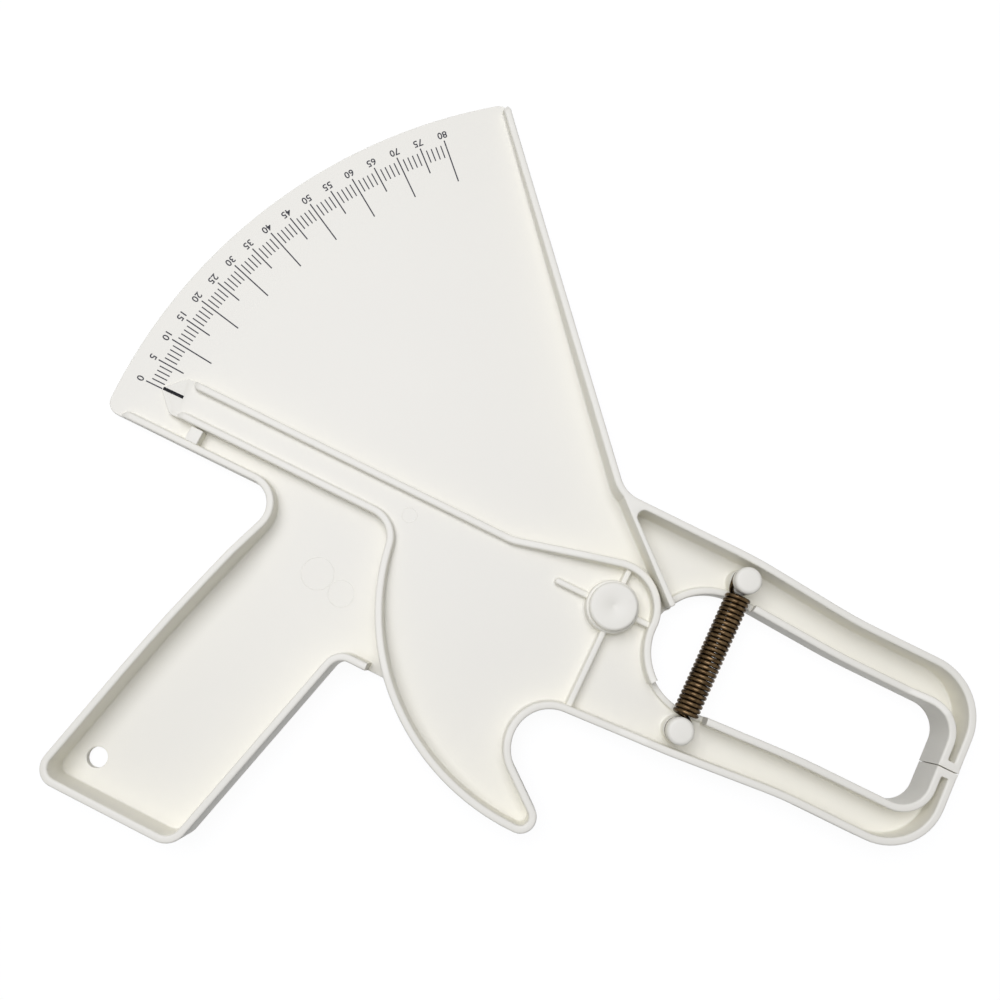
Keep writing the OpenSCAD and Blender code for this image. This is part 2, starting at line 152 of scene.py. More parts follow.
links.new(glow_share.outputs[0], mixed.inputs[0])
links.new(paper.outputs[0], mixed.inputs[1])
links.new(glow.outputs[0], mixed.inputs[2])
links.new(mixed.outputs[0], sheet_out.inputs[0])
table_mesh.materials.append(sheet)

# ---------------------------------------------------------------------------------------------
# Dial frame. One moulding of off-white ABS: the fan-shaped dial plate, the grip and the fixed
# jaw arm are a flat plate with a standing rim, drawn straight up out of the mould.
FAN_R, FAN_LOW, FAN_SIDE, FAN_SIDE_ANGLE, FAN_CORNER_R = 161.37, 12.9, 12.1, 131.0, 4.0
GRIP_LEAN, GRIP_FRONT, GRIP_W, GRIP_DROP = 14.2, 96.1, 44.7, 112.4
SHELF_DROP, SHELF_END_X = 47.0, -46.0
GRIP_SWELL, SWELL_Y, SWELL_R = 1.5, -62.0, 500.0
ARM_START_Y, ARM_ROOT, ARM_WAIST, ARM_TIP, WAIST_X, ARM_CORNER_R = 31.0, 30.7, 27.5, 27.3, 64.0, 17.0
GAP_ROOT, GAP_WAIST, GAP_TIP, GAP_CORNER_R = 16.5, 14.8, 14.7, 8.0
ARM_SWAY_R, GAP_SWAY_R = 120.0, 200.0
HOLE_X, HOLE_R, HUB_PLATE_R = 31.0, 17.4, 18.0
REACH, CONTACT_W, HALF_GAP = 105.5, 6.2, 0.15
PLATE_T, RIM_T = 2.4, 2.2
ARM_H, GAP_RIM_H, GRIP_H, FAN_RIM_H, WEB_RIM_H = 13.0, 9.4, 13.0, 4.6, 7.4
RIM_HEAD, CONTACT_EDGE, OUTLINE_STEP = 0.6, 0.1, 0.8
GAP_X = REACH - CONTACT_W


def arc(centre, radius, start, stop, count):
    """Points of a circle's arc about centre, at even angles from start to stop in degrees."""
    angle = np.radians(np.linspace(start, stop, count))
    return np.c_[centre[0] + radius * np.cos(angle), centre[1] + radius * np.sin(angle)]


def heading(point):
    """Direction from the pivot to a point, in degrees."""
    return np.degrees(np.arctan2(point[1], point[0]))


def unit(rows):
    """Each row divided by its own length."""
    return rows / np.linalg.norm(rows, axis=-1, keepdims=True)


def corner(before, tip, after, radius):
    """The arc that rounds a corner: its centre lies on the corner's bisector, radius / sin(half
    the corner's angle) from the tip, and it touches both sides radius / tan(half) from the tip."""
    before, tip, after = (np.asarray(p, float) for p in (before, tip, after))
    u, v = unit(before - tip), unit(after - tip)
    half = np.arccos(u @ v) / 2
    centre = tip + unit(u + v) * radius / np.sin(half)
    start = tip + u * radius / np.tan(half) - centre
    stop = tip + v * radius / np.tan(half) - centre
    turn = np.degrees(np.arctan2(start[0] * stop[1] - start[1] * stop[0], start @ stop))
    first = heading(start)
    return arc(centre, radius, first, first + turn, max(4, int(abs(turn) / 6) + 2))


def closed_outline(parts):
    """Joins arcs, given as arrays, and corners, given as (x, y, radius), into one closed line."""
    ends = [(p[0], p[-1]) if isinstance(p, np.ndarray) else (np.array(p[:2]),) * 2 for p in parts]
    rows = []
    for i, part in enumerate(parts):
        if isinstance(part, np.ndarray):
            rows.append(part)
        elif part[2] == 0:
            rows.append(np.array([part[:2]], float))
        else:
            rows.append(corner(ends[i - 1][1], part[:2], ends[(i + 1) % len(parts)][0], part[2]))
    line = np.concatenate(rows)
    return line[np.linalg.norm(line - np.roll(line, 1, 0), axis=1) > 0.02]


def inset(line, depth):
    """The closed line moved inwards: each point goes along the sum of its two sides' normals,
    divided by one plus the cosine between them, so that both sides move by depth."""
    before = unit(line - np.roll(line, 1, 0))
    after = unit(np.roll(line, -1, 0) - line)
    normal = np.c_[-(before + after)[:, 1], (before + after)[:, 0]]
    return line + depth * normal / (1 + (before * after).sum(1))[:, None]


def stations(line, step):
    """Even places along a closed line, as side number plus the share of that side passed."""
    length = np.linalg.norm(np.roll(line, -1, 0) - line, axis=1)
    pieces = np.maximum(1, np.ceil(length / step)).astype(int)
    side = np.repeat(np.arange(len(line)), pieces)
    first = np.repeat(np.cumsum(pieces) - pieces, pieces)
    return side + (np.arange(pieces.sum()) - first) / np.repeat(pieces, pieces)


def along(line, places):
    """The points of a closed line at those places."""
    side = places.astype(int)
    share = (places - side)[:, None]
    return line[side] * (1 - share) + line[(side + 1) % len(line)] * share


def sharpen(line, places, *heights):
    """Adds two places close together wherever one of the heights jumps by over 2 mm from one
    place to the next, found by halving the way between them."""
    for height in heights:
        after = np.append(places[1:], len(line) - 1e-6)
        here, there = height(along(line, places)), height(along(line, after))
        jumps = np.abs(there - here) > 2
        near, far, start = places[jumps], after[jumps], here[jumps]
        for _ in range(9):
            middle = (near + far) / 2
            before = np.abs(height(along(line, middle)) - start) < 1
            near, far = np.where(before, middle, near), np.where(before, far, middle)
        places = np.unique(np.concatenate([places, near, far]))
    return places


def ring_faces(rings, count, offset=0):
    """Quads of a grid of closed rings of count points each, one ring after the other."""
    ring = offset + np.arange(rings - 1)[:, None] * count
    here = np.arange(count)[None, :]
    there = (here + 1) % count
    return np.stack([ring + here, ring + there, ring + count + there, ring + count + here],
                    axis=-1).reshape(-1, 4).tolist()


def fill(points, loops, upwards):
    """Triangles that fill the first closed loop and leave the others open."""
    flat = [[Vector((*points[i][:2], 0.0)) for i in loop] for loop in loops]
    index = np.concatenate([np.asarray(loop) for loop in loops])
    triangles = index[np.array(tessellate_polygon(flat))]
    a, b, c = (points[triangles[:, k]][:, :2] for k in range(3))
    turn = (b - a)[:, 0] * (c - a)[:, 1] - (b - a)[:, 1] * (c - a)[:, 0]
    triangles = triangles[np.abs(turn) > 1e-9]
    turn = turn[np.abs(turn) > 1e-9]
    wrong = turn < 0 if upwards else turn > 0
    triangles[wrong] = triangles[wrong][:, ::-1]
    return triangles.tolist()


def rimmed_plate(line, low, top, rim_low, rim_top, head, step, holes=(), fold=None):
    """A flat plate with a rim along its edge, as one closed surface. Its section goes from the
    underside round the rim's foot, up its outer wall, over its rounded head and down its inner
    wall through a fillet into the floor. Where rim_top is top and rim_low is low there is no rim,
    only the plate's edge. low, top, rim_low and rim_top give heights, and head the rounding of
    the rim's head, at the points of the outline. The floor bends along the line x = fold."""
    edge, plain_w, fillet_r, flat_w = 0.25, 0.6, 0.6, 0.15
    hole_count, hole_edge = 64, 0.3
    places = sharpen(line, stations(line, step), rim_top, rim_low)
    rim = along(line, places)
    inwards = along(inset(line, 1.0), places) - rim
    plate_low, plate_top, wall_low, wall_top = (f(rim) for f in (low, top, rim_low, rim_top))
    up = np.clip((wall_top - plate_top) / 2, 0, 1)
    down = np.clip((plate_low - wall_low) / 1.5, 0, 1)
    rings = []

    def ring(depth, z):
        rings.append(np.c_[rim + np.broadcast_to(depth, len(rim))[:, None] * inwards, z])

    width = RIM_T * down + plain_w * (1 - down)
    for share, rise in ((fillet_r + flat_w, 0.0), (fillet_r, 0.0), (fillet_r * 0.3, 0.3), (0.0, 1.0)):
        ring(width + share, plate_low - rise * fillet_r * down)
    ring(width, wall_low + edge * down)
    ring(width - edge, wall_low)
    bow = np.radians(np.linspace(0, 90, 5))
    for angle in bow:
        ring(edge * (1 - np.sin(angle)), wall_low + edge * (1 - np.cos(angle)))
    width = RIM_T * up + plain_w * (1 - up)
    rounding = head(rim) * up + edge * (1 - up)
    for angle in bow:
        ring(rounding * (1 - np.cos(angle)), wall_top - rounding * (1 - np.sin(angle)))
    for angle in bow[::-1]:
        ring(width - rounding * (1 - np.cos(angle)), wall_top - rounding * up * (1 - np.sin(angle)))
    for angle in bow:
        ring(width + fillet_r * (1 - np.cos(angle)), plate_top + fillet_r * up * (1 - np.sin(angle)))
    ring(width + fillet_r + flat_w, plate_top)
    count = len(places)
    points = np.concatenate(rings)
    faces = ring_faces(len(rings), count)
    floor_loops = [list(range((len(rings) - 1) * count, len(rings) * count))]
    under_loops = [list(range(count))]
    for (x, y), radius in holes:
        top_z, low_z = plate_top.min(), plate_low.min()
        section = [(radius + 0.5, top_z), (radius + hole_edge, top_z),
                   (radius + hole_edge * 0.3, top_z - hole_edge * 0.3), (radius, top_z - hole_edge),
                   (radius, low_z + hole_edge), (radius + hole_edge, low_z)]
        start = len(points)
        for r, z in section:
            circle = arc((x, y), r, 0, 360, hole_count + 1)[:-1]
            points = np.concatenate([points, np.c_[circle, np.full(hole_count, z)]])
        faces += ring_faces(len(section), hole_count, start)
        floor_loops.append(list(range(start, start + hole_count))[::-1])
        under_loops.append(list(range(len(points) - hole_count, len(points)))[::-1])
    if fold is not None:
        loop = np.array(floor_loops[0])
        beyond = points[loop, 0] < fold
        first = np.flatnonzero(~beyond & np.roll(beyond, 1))[0]
        loop, beyond = np.roll(loop, -first), np.roll(beyond, -first)
        near = loop[~beyond].tolist()
        floor_loops[0] = near
        faces += fill(points, [[near[-1], *loop[beyond].tolist(), near[0]]], True)
    faces += fill(points, floor_loops, True)
    faces += fill(points, under_loops, False)
    return points, faces


SINK = 0.3


def pad(line, low, top, foot=0.0, edge=0.4, step=0.8):
    """A boss or rib with upright walls on a plate: its closed outline flares out by foot at the
    plate, and its upper edge is rounded by edge. It reaches down into the plate by SINK, so that
    the two leave no gap."""
    bow = np.radians(np.linspace(0, 90, 5))
    places = stations(line, step)
    rim = along(line, places)
    rings = [np.c_[along(inset(line, -foot), places), np.full(len(rim), low - SINK)]]
    for depth, rise in zip(foot * (np.sin(bow) - 1), foot * (1 - np.cos(bow))):
        rings.append(np.c_[along(inset(line, depth), places), np.full(len(rim), low + rise)])
    for depth, drop in zip(edge * (1 - np.cos(bow)), edge * (1 - np.sin(bow))):
        rings.append(np.c_[along(inset(line, depth), places), np.full(len(rim), top - drop)])
    count = len(places)
    points = np.concatenate(rings)
    faces = ring_faces(len(rings), count)
    faces += fill(points, [list(range((len(rings) - 1) * count, len(rings) * count))], True)
    faces += fill(points, [list(range(count))], False)
    return points, faces


def stadium(start, stop, width):
    """Outline of a straight rib with round ends, run round to the left."""
    start, stop = np.asarray(start, float), np.asarray(stop, float)
    lean = heading(stop - start)
    return np.concatenate([arc(start, width / 2, lean + 90, lean + 270, 9),
                           arc(stop, width / 2, lean - 90, lean + 90, 9)])


def lathe(section, centre, count=64):
    """A turned solid: the section's (radius, height) points go round the upright axis through
    centre, from the bottom of the axis to its top."""
    section = np.asarray(section, float)
    angle = np.radians(np.arange(count) * 360 / count)
    body = section[1:-1]
    x = centre[0] + body[:, :1] * np.cos(angle)
    y = centre[1] + body[:, :1] * np.sin(angle)
    z = np.repeat(body[:, 1:], count, axis=1)
    points = np.stack([x, y, z], axis=-1).reshape(-1, 3)
    last = len(points)
    points = np.concatenate([points, [[*centre, section[0, 1]], [*centre, section[-1, 1]]]])
    here = np.arange(count)
    there = (here + 1) % count
    faces = ring_faces(len(body), count)
    faces += np.c_[there, here, np.full(count, last)].tolist()
    upper = (len(body) - 1) * count
    faces += np.c_[upper + here, upper + there, np.full(count, last + 1)].tolist()
    return points, faces


def piece(name, solids, material, body):
    """One Blender object from several closed surfaces in mm, shaded smooth between edges of less
    than 40 degrees, with its place in its mesh."""
    points = np.concatenate([p for p, _ in solids]) * MM
    faces, first = [], 0
    for solid, solid_faces in solids:
        faces += [[first + i for i in face] for face in solid_faces]
        first += len(solid)
    mesh = bpy.data.meshes.new(name)
    mesh.from_pydata(points.tolist(), [], faces)
    mesh.validate()
    mesh.polygons.foreach_set("use_smooth", np.ones(len(mesh.polygons), bool))
    mesh.set_sharp_from_angle(angle=np.radians(40))
    mesh.materials.append(material)
    made = bpy.data.objects.new(name, mesh)
    scene.collection.objects.link(made)
    if body:
        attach(made, body)
    return made


def moulded_surface_group():
    """Effect of a moulded face: cloudy shade, uneven gloss and the mould's fine spark texture.
    It puts out a factor for the colour, a roughness and a height."""
    group = bpy.data.node_groups.new("moulded_surface", "ShaderNodeTree")
    sockets = (("Clouds per m", "INPUT", 30.0), ("Grain per m", "INPUT", 9000.0),
               ("Roughness", "INPUT", 0.4), ("Shade", "OUTPUT", 0.0),
               ("Gloss", "OUTPUT", 0.0), ("Height", "OUTPUT", 0.0))
    for name, direction, value in sockets:
        socket = group.interface.new_socket(name=name, in_out=direction, socket_type="NodeSocketFloat")
        if direction == "INPUT":
            socket.default_value = value
    nodes, links = group.nodes, group.links
    given, made = nodes.new("NodeGroupInput"), nodes.new("NodeGroupOutput")
    place = nodes.new("ShaderNodeTexCoord")
    clouds, grain = nodes.new("ShaderNodeTexNoise"), nodes.new("ShaderNodeTexNoise")
    clouds.inputs["Detail"].default_value = 3.0
    grain.inputs["Detail"].default_value = 4.0
    links.new(place.outputs["Object"], clouds.inputs["Vector"])
    links.new(place.outputs["Object"], grain.inputs["Vector"])
    links.new(given.outputs["Clouds per m"], clouds.inputs["Scale"])
    links.new(given.outputs["Grain per m"], grain.inputs["Scale"])
    spread = nodes.new("ShaderNodeMath")
    spread.operation = "MULTIPLY_ADD"
    spread.inputs[1].default_value = 0.12
    offset = nodes.new("ShaderNodeMath")
    offset.operation = "SUBTRACT"
    offset.inputs[1].default_value = 0.06
    links.new(clouds.outputs["Fac"], spread.inputs[0])
    links.new(given.outputs["Roughness"], spread.inputs[2])
    links.new(spread.outputs[0], offset.inputs[0])
    links.new(clouds.outputs["Fac"], made.inputs["Shade"])
    links.new(offset.outputs[0], made.inputs["Gloss"])
    links.new(grain.outputs["Fac"], made.inputs["Height"])
    return group


moulded_surface = moulded_surface_group()


def plastic(name, light, dark, roughness):
    """Opaque moulded plastic whose colour drifts a little between light and dark."""
    material = bpy.data.materials.new(name)
    material.use_nodes = True
    nodes, links = material.node_tree.nodes, material.node_tree.links
    shader = nodes["Principled BSDF"]
    effect = nodes.new("ShaderNodeGroup")
    effect.node_tree = moulded_surface
    effect.inputs["Roughness"].default_value = roughness
    tint = nodes.new("ShaderNodeMix")
    tint.data_type = "RGBA"
    tint.inputs["A"].default_value = dark
    tint.inputs["B"].default_value = light
    bump = nodes.new("ShaderNodeBump")
    bump.inputs["Strength"].default_value = 0.08
    bump.inputs["Distance"].default_value = 0.00005
    links.new(effect.outputs["Shade"], tint.inputs["Factor"])
    links.new(tint.outputs["Result"], shader.inputs["Base Color"])
    links.new(effect.outputs["Gloss"], shader.inputs["Roughness"])
    links.new(effect.outputs["Height"], bump.inputs["Height"])
    links.new(bump.outputs["Normal"], shader.inputs["Normal"])
    shader.inputs["Specular IOR Level"].default_value = 0.4
    return material


off_white = plastic("off_white_abs", (0.83, 0.81, 0.71, 1), (0.81, 0.79, 0.685, 1), 0.42)


def grip_x(y, back):
    """Where the grip's front or back edge lies at that height."""
    return -GRIP_FRONT + (GRIP_W if back else 0) + y * np.tan(np.radians(GRIP_LEAN))


def crossing(radius, hole):
    """Angles, at the pivot and at the hole's centre, where a circle about the pivot meets the
    round hole, from the triangle of the two radii and the distance between the centres."""
    x = (HOLE_X ** 2 + radius ** 2 - hole ** 2) / (2 * HOLE_X)
    return np.degrees(np.arccos(x / radius)), np.degrees(np.arccos((HOLE_X - x) / hole))


side_out = np.array([np.cos(np.radians(FAN_SIDE_ANGLE - 90)), np.sin(np.radians(FAN_SIDE_ANGLE - 90))])
side_along = np.array([np.cos(np.radians(FAN_SIDE_ANGLE)), np.sin(np.radians(FAN_SIDE_ANGLE))])
corner_y = -FAN_LOW + FAN_CORNER_R
low_corner = np.array([-np.sqrt((FAN_R - FAN_CORNER_R) ** 2 - corner_y ** 2), corner_y])
corner_side = FAN_SIDE - FAN_CORNER_R
side_reach = np.sqrt((FAN_R - FAN_CORNER_R) ** 2 - corner_side ** 2)
side_corner = corner_side * side_out + side_reach * side_along
junction_x = (FAN_SIDE - ARM_START_Y * side_out[1]) / side_out[0]
shelf_end = np.array([SHELF_END_X, -SHELF_DROP])
shelf_touch = heading(shelf_end) + np.degrees(np.arccos(HUB_PLATE_R / np.linalg.norm(shelf_end)))
hub_cross, hole_cross = crossing(HUB_PLATE_R, HOLE_R)

frame_line = closed_outline([
    arc(low_corner, FAN_CORNER_R, heading(low_corner) + 360, 270, 12),
    (grip_x(-FAN_LOW, False), -FAN_LOW, 8.0),
    (grip_x(SWELL_Y, False) - GRIP_SWELL, SWELL_Y, SWELL_R),
    (grip_x(-GRIP_DROP, False), -GRIP_DROP, 5.5),
    (grip_x(-GRIP_DROP, True), -GRIP_DROP, 6.5),
    (grip_x(-SHELF_DROP, True), -SHELF_DROP, 4.0),
    (shelf_end[0], shelf_end[1], 6.0),
    arc((0, 0), HUB_PLATE_R, shelf_touch, -hub_cross, 9),
    arc((HOLE_X, 0), HOLE_R, 180 + hole_cross, np.degrees(np.arcsin(GAP_ROOT / HOLE_R)), 48),
    (WAIST_X, GAP_WAIST, GAP_SWAY_R),
    (GAP_X, GAP_TIP, GAP_CORNER_R),
    (GAP_X, HALF_GAP, 0),
    (REACH, HALF_GAP, 0),
    (REACH, ARM_TIP, ARM_CORNER_R),
    (WAIST_X, ARM_WAIST, ARM_SWAY_R),
    (HOLE_X, ARM_ROOT, ARM_SWAY_R),
    (junction_x, ARM_START_Y, 9.0),
    arc(side_corner, FAN_CORNER_R, FAN_SIDE_ANGLE - 90, heading(side_corner), 12),
    arc((0, 0), FAN_R, heading(side_corner), heading(low_corner) + 360, 120),
])

RIM_START_X, RIM_END_X = -155.2, -55.1
FAN_RISE_X, GRIP_RISE_Y = (-160, -108), (-34, -FAN_LOW)
SIDE_FALL, SIDE_END_H = (34, 150), 6.0
ROUND_END, ROUND_END_L = 160.2, 3.0
NOTCH_START_X, NOTCH_END_X, NOTCH_Y, NOTCH_TOP = 15.0, 36.6, 20.2, 6.2
DIP_END_X, DIP_RISE_X = 86.0, 96.0
POCKET_ANGLE, POCKET_INNER, POCKET_W, POCKET_START = 139.0, 14.5, 1.8, -6.5
ARM_RIM_START_R = POCKET_INNER + 2.5


def frame_rim_top(p):
    """Head of the frame's rim: low along the fan's lower edge, rising round the grip, full round
    the jaw arm but notched beside the spring and lower along the gap, falling along the fan's side
    to a round end, and none elsewhere."""
    x, y = p.T
    low_side = (y <= -FAN_LOW + 0.001) & (x > RIM_START_X) & (x < RIM_END_X)
    fan = np.interp(x, FAN_RISE_X, [FAN_RIM_H, WEB_RIM_H])
    grip = np.interp(y, GRIP_RISE_Y, [GRIP_H, WEB_RIM_H])
    head = np.where(y < -FAN_LOW - 0.01, np.maximum(fan, grip), fan)
    round_start = np.sqrt(np.clip((x - RIM_START_X) / RIM_T, 0, 1))
    head = PLATE_T + (head - PLATE_T) * np.where(y > -FAN_LOW - 0.01, round_start, 1)
    out, far_along = p @ side_out, p @ side_along
    arm_side = (out > FAN_SIDE - 0.5) & (np.hypot(x, y) > ARM_RIM_START_R)
    arm_head = np.interp(far_along, SIDE_FALL, [ARM_H, SIDE_END_H])
    round_end = np.sqrt(np.clip((ROUND_END - far_along) / ROUND_END_L, 0, 1))
    arm_head = PLATE_T + (arm_head - PLATE_T) * round_end
    beside_gap = (y > 0) & (y < NOTCH_Y) & (x > NOTCH_START_X)
    gap_head = np.interp(x, [DIP_END_X, DIP_RISE_X], [GAP_RIM_H, ARM_H])
    arm_head = np.where(beside_gap, np.where(x < NOTCH_END_X, NOTCH_TOP, gap_head), arm_head)
    top = np.where(low_side, head, PLATE_T)
    on_fan_arc = np.hypot(x, y) > FAN_R - 0.02
    return np.where(arm_side & ~on_fan_arc, arm_head, top)


def level(height):
    """The same height at every point."""
    return lambda p: np.full(len(p), float(height))


def rim_head(p):
    """Rounding of the rim's head: small, and smaller still where the jaws touch."""
    touching = (np.abs(p[:, 1]) < HALF_GAP + 0.01) & (p[:, 0] > GAP_X - 0.01)
    return np.where(touching, CONTACT_EDGE, RIM_HEAD)


HANG_Y, HANG_INSET, HANG_R = -102.4, 9.2, 2.95
hang_hole = ((grip_x(HANG_Y, False) + HANG_INSET, HANG_Y), HANG_R)
plate = rimmed_plate(frame_line, level(0), level(PLATE_T), level(0), frame_rim_top, rim_head,
                     OUTLINE_STEP, [hang_hole])
pocket_u = np.array([np.cos(np.radians(POCKET_ANGLE)), np.sin(np.radians(POCKET_ANGLE))])
pocket_n = np.array([pocket_u[1], -pocket_u[0]])
pocket_outer = POCKET_INNER + POCKET_W
pocket_tip_y = ARM_START_Y - RIM_T
pocket_tip_x = (pocket_outer - pocket_tip_y * pocket_n[1]) / pocket_n[0]
web_y = ARM_START_Y + 2.4
web_x = (FAN_SIDE - RIM_T + 0.6 - web_y * side_out[1]) / side_out[0]
pocket_line = closed_outline([
    (*(POCKET_INNER * pocket_n + POCKET_START * pocket_u), 0.6),
    (*(pocket_outer * pocket_n + POCKET_START * pocket_u), 0.6),
    (pocket_tip_x, pocket_tip_y, 2.0),
    (pocket_tip_x + 9.0, pocket_tip_y, 0.3),
    (pocket_tip_x + 9.0, pocket_tip_y + 0.8, 0.3),
    (junction_x + 2.0, ARM_START_Y - 0.8, 1.0),
    (web_x, web_y, 0.6),
])
pocket_rib = pad(pocket_line, PLATE_T, ARM_H - 0.02, foot=0.6, edge=0.4)
PEG_X, PEG_L, PEG_LOW, PEG_HIGH, PEG_TOP = -134.0, 4.0, -10.9, -6.4, 6.2
peg_line = closed_outline([(PEG_X, PEG_LOW, 0.4), (PEG_X + PEG_L, PEG_LOW, 0.4),
                           (PEG_X + PEG_L, PEG_HIGH, 0.4), (PEG_X, PEG_HIGH, 0.4)])
peg = pad(peg_line, PLATE_T, PEG_TOP, foot=0.2, edge=0.3, step=0.4)
POST_X, POST_Y, POST_R, POST_TOP, POST_FOOT = 31.0, 23.2, 3.8, 8.4, 0.8


def post(side, low):
    """The round post that a spring pin stands in, with a fillet at the plate."""
    foot_r = POST_R + POST_FOOT
    return lathe([(0, low - SINK), (foot_r, low - SINK), (foot_r, low), (POST_R + 0.25, low + 0.25),
                  (POST_R, low + POST_FOOT), (POST_R, POST_TOP - 0.2), (POST_R - 0.2, POST_TOP),
                  (0, POST_TOP)], (POST_X, side * POST_Y))


STUD_R, STUD_TOP = 4.5, 9.8
stud = lathe([(0, PLATE_T - SINK), (STUD_R, PLATE_T - SINK), (STUD_R, STUD_TOP), (0, STUD_TOP)], (0, 0))


def ejector_mark(x, y, radius, floor):
    """The faint ring that an ejector pin leaves on a moulded floor: a low round bead."""
    bead_w, bead_h = 0.22, 0.07
    bow = np.linspace(-1, 1, 5)
    section = [(radius + bead_w * b, floor - 0.02 + bead_h * (1 - b * b)) for b in bow[::-1]]
    rings = [np.c_[arc((x, y), r, 0, 360, 49)[:-1], np.full(48, z)] for r, z in section]
    return np.concatenate(rings), ring_faces(len(rings), 48)


marks = [ejector_mark(-81.1, -28.6, 4.8, PLATE_T), ejector_mark(-72.3, -30.8, 3.9, PLATE_T)]
dial_frame = piece("moulded_frame", [plate, pocket_rib, peg, post(1, PLATE_T), stud, *marks],
                   off_white, "frame")
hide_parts("dial_frame")

# ---------------------------------------------------------------------------------------------
# Trigger lever. The second moulding lies over the frame's plate: pointer, swept front, finger
# crook, hub and moving jaw arm, with rims on its edges and ribs round its hub.
POINTER_L, POINTER_HALF, SWEEP_R, CROOK_R, TRIGGER_END_R = 148.8, 6.0, 67.8, 10.8, 4.5
HUB_R, LEVER_HOLE_R, SHOULDER_X, NECK_R, HUB_RIB_ANGLE = 13.9, 17.2, 6.4, 8.0, 13.7
ARM_ROOT_LOW, CROOK_X, TRIGGER_X = 32.7, 0.8, 1.3
LEVER_LOW, LEVER_TOP, LEVER_LIFT, TIP_TOP = 2.8, 4.8, 0.3, 3.4
POINTER_H, HUB_H, TRIGGER_H = 7.0, 10.0, 13.0
RIB_START_X = -POINTER_L + 9.0
DEEP_X, DEEP_R = 18.0, 19.5

low_turn = np.degrees(np.arctan((ARM_ROOT_LOW - ARM_ROOT) / HOLE_X))
neck_y = -POINTER_HALF - NECK_R
neck = np.array([-np.sqrt((SWEEP_R + NECK_R) ** 2 - neck_y ** 2), neck_y])
crook = np.array([CROOK_X, -ARM_ROOT_LOW - CROOK_R])
trigger = np.array([TRIGGER_X, -np.sqrt((SWEEP_R - TRIGGER_END_R) ** 2 - TRIGGER_X ** 2)])
to_crook = crook - trigger
lean_in = np.degrees(np.arcsin((TRIGGER_END_R + CROOK_R) / np.linalg.norm(to_crook)))
inner_side = heading(to_crook) + lean_in
lever_cross, lever_hole_cross = crossing(HUB_R, LEVER_HOLE_R)
rib_turn = np.radians(HUB_RIB_ANGLE)
pointer_join = (POINTER_HALF * np.cos(rib_turn) - HUB_R) / np.sin(rib_turn)

lever_line = closed_outline([
    (-POINTER_L, 0, 1.0),
    (-POINTER_L + SHOULDER_X, -POINTER_HALF, 2.5),
    arc(neck, NECK_R, 90, heading(neck) + 180, 14),
    arc((0, 0), SWEEP_R, heading(neck) + 360, heading(trigger) + 360, 60),
    arc(trigger, TRIGGER_END_R, heading(trigger), inner_side - 90, 24),
    arc(crook, CROOK_R, inner_side + 90, 90 + low_turn, 30),
    (HOLE_X, -ARM_ROOT, ARM_SWAY_R),
    (WAIST_X, -ARM_WAIST, ARM_SWAY_R),
    (REACH, -ARM_TIP, ARM_CORNER_R),
    (REACH, -HALF_GAP, 0),
    (GAP_X, -HALF_GAP, 0),
    (GAP_X, -GAP_TIP, GAP_CORNER_R),
    (WAIST_X, -GAP_WAIST, GAP_SWAY_R),
    arc((HOLE_X, 0), LEVER_HOLE_R, 360 - np.degrees(np.arcsin(GAP_ROOT / LEVER_HOLE_R)),
        180 - lever_hole_cross, 40),
    arc((0, 0), HUB_R, lever_cross, 90 + HUB_RIB_ANGLE, 20),
    (pointer_join, POINTER_HALF, 12.0),
    (-POINTER_L + SHOULDER_X, POINTER_HALF, 2.5),
])
LEVER_NOTCH_START_X = 20.0
HUB_RISE_X, SWEEP_RISE_Y = (-36, -12, 14, 24), (-46, -6)


def lever_top(p):
    """Upper face of the lever's plate, which thins towards the pointer's tip."""
    return np.interp(p[:, 0], [-POINTER_L, RIB_START_X], [TIP_TOP, LEVER_TOP])


def lever_rim_top(p):
    """Head of the lever's rim: low along the pointer, higher round the hub and the swept front,
    full round the jaw arm, notched beside the spring, none on the pointer's tip."""
    x, y = p.T
    level_x = np.interp(x, HUB_RISE_X, [POINTER_H, HUB_H, HUB_H, ARM_H])
    sweep = np.interp(y, SWEEP_RISE_Y, [TRIGGER_H, POINTER_H])
    head = np.where(y < -POINTER_HALF - 0.01, np.maximum(level_x, sweep), level_x)
    notched = (y < 0) & (y > -NOTCH_Y) & (x > LEVER_NOTCH_START_X) & (x < NOTCH_END_X)
    head = np.where(notched, NOTCH_TOP, head)
    plate_top = lever_top(p)
    start = np.sqrt(np.clip((x - RIB_START_X) / RIM_T, 0, 1))
    return plate_top + (head - plate_top) * start


def lever_rim_low(p):
    """Foot of the lever's rim: it reaches down beside the frame's plate on the jaw arm only."""
    x, y = p.T
    deep = (x > DEEP_X) & (np.hypot(x, y) > DEEP_R)
    return np.where(deep, LEVER_LIFT, LEVER_LOW)


BOSS_R, BOSS_TOP, BOSS_FOOT, RIB_W = 7.6, 9.6, 0.7, 1.8
lever_plate = rimmed_plate(lever_line, level(LEVER_LOW), lever_top, lever_rim_low, lever_rim_top,
                           rim_head, OUTLINE_STEP, fold=RIB_START_X)
boss = lathe([(0, LEVER_TOP - SINK), (BOSS_R + BOSS_FOOT, LEVER_TOP - SINK), (BOSS_R + BOSS_FOOT, LEVER_TOP),
              (BOSS_R + 0.2, LEVER_TOP + 0.2), (BOSS_R, LEVER_TOP + BOSS_FOOT), (BOSS_R, BOSS_TOP - 0.3),
              (BOSS_R - 0.1, BOSS_TOP - 0.1), (BOSS_R - 0.3, BOSS_TOP), (0, BOSS_TOP)], (0, 0))
HUB_RIBS = (
    # start, stop and head of each rib
    ((-17.0, 0), (-6.0, 0), 7.2),
    ((6.0, 0), (13.0, 0), 8.2),
    ((0, 6.0), (0, 13.0), 8.2),
    ((0.7, -6.0), (0.7, -31.0), 9.2),
)
